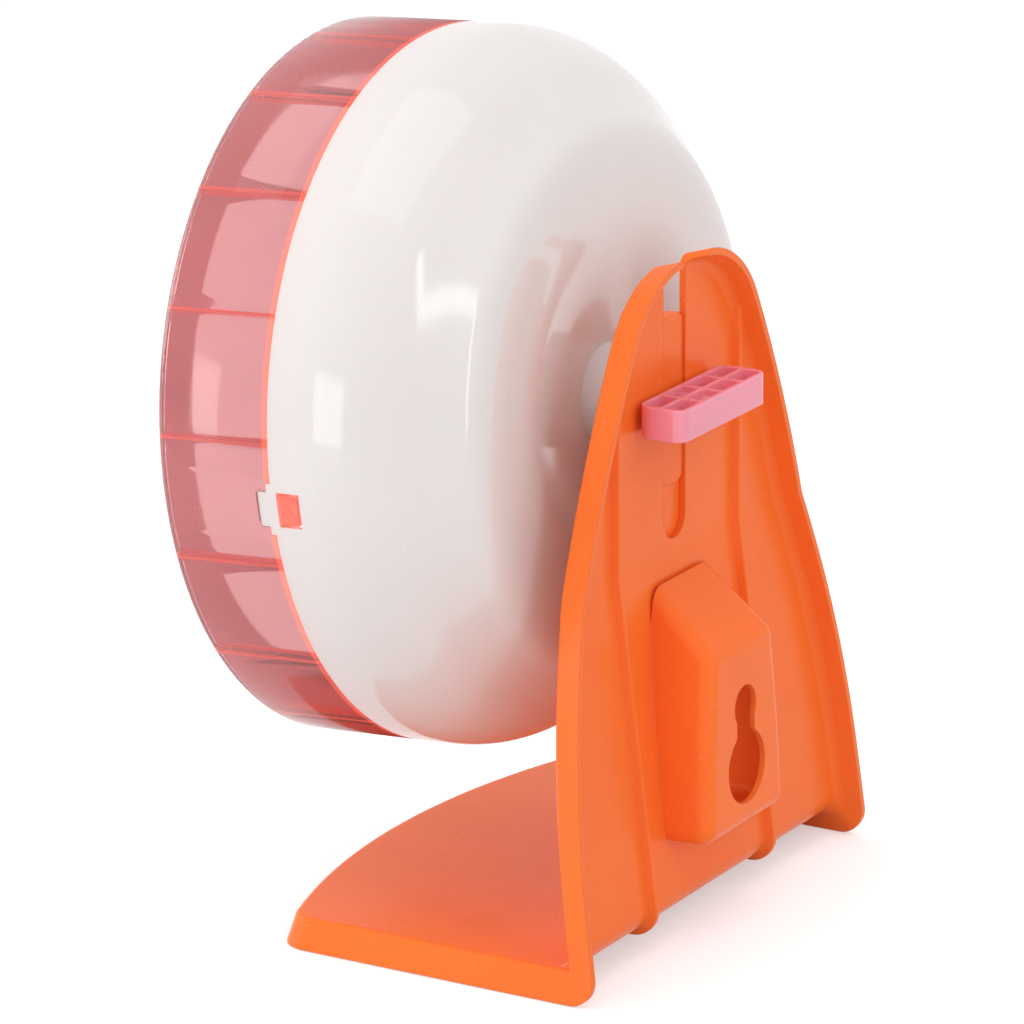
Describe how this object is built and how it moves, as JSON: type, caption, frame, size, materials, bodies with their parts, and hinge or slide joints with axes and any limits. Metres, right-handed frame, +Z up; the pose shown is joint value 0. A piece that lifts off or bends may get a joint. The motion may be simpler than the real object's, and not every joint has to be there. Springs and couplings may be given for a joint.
{
  "type": "rodent exercise wheel",
  "caption": "Rodent exercise wheel: a closed-back running drum on a free-standing foot, with a height slot clamped by a turning cross bar.",
  "frame": {"origin": "middle of the bounding box, on the surface the foot stands on", "axes": "+Z up, +Y to the rear where the clamp bar is, and the drum's open front faces -Y"},
  "size_m": [0.277, 0.1822, 0.3373],
  "materials": {
    "stand_orange": "semi-gloss moulded ABS",
    "carriage_orange": "semi-gloss moulded ABS",
    "ring_pink": "translucent glossy polystyrene",
    "shell_white": "glossy polystyrene",
    "bar_pink": "semi-gloss moulded plastic",
    "cap_white": "glossy polystyrene",
    "bearing_plastic": "natural acetal",
    "steel": "bright zinc-plated steel",
    "spring_steel": "phosphated spring steel",
    "brass": "turned brass"
  },
  "bodies": {
    "stand": {"stand": "stand_orange"},
    "carriage": {"carriage": "carriage_orange", "axle_pin": "steel", "clamp_bolt": "steel", "rear_washer": "steel", "front_washer": "steel", "axle_retainer": "spring_steel"},
    "drum": {"running_ring": "ring_pink", "rear_shell": "shell_white", "hub_sleeve": "bearing_plastic", "hub_cap": "cap_white"},
    "clamp_insert": {"clamp_insert": "brass"},
    "clamp_bar": {"clamp_bar": "bar_pink"}
  },
  "joints": [
    {"name": "carriage_height", "type": "slide", "parent": "stand", "child": "carriage", "axis": [0, 0, 1], "range_m": [-0.016, 0.02]},
    {"name": "drum_spin", "type": "hinge", "parent": "carriage", "child": "drum", "pos_m": [0, 0.05885, 0.2038], "axis": [0, 0.9981, 0.061], "continuous": true},
    {"name": "insert_travel", "type": "slide", "parent": "carriage", "child": "clamp_insert", "axis": [0, 1, 0], "range_m": [0, 0.0022]},
    {"name": "bar_turn", "type": "hinge", "parent": "clamp_insert", "child": "clamp_bar", "pos_m": [0, 0.05885, 0.2038], "axis": [0, 1, 0], "range_deg": [0, 1080]}
  ],
  "couplings": [
    {"joint": "insert_travel", "follows": "bar_turn", "m_per_rad": 0.00011141}
  ]
}
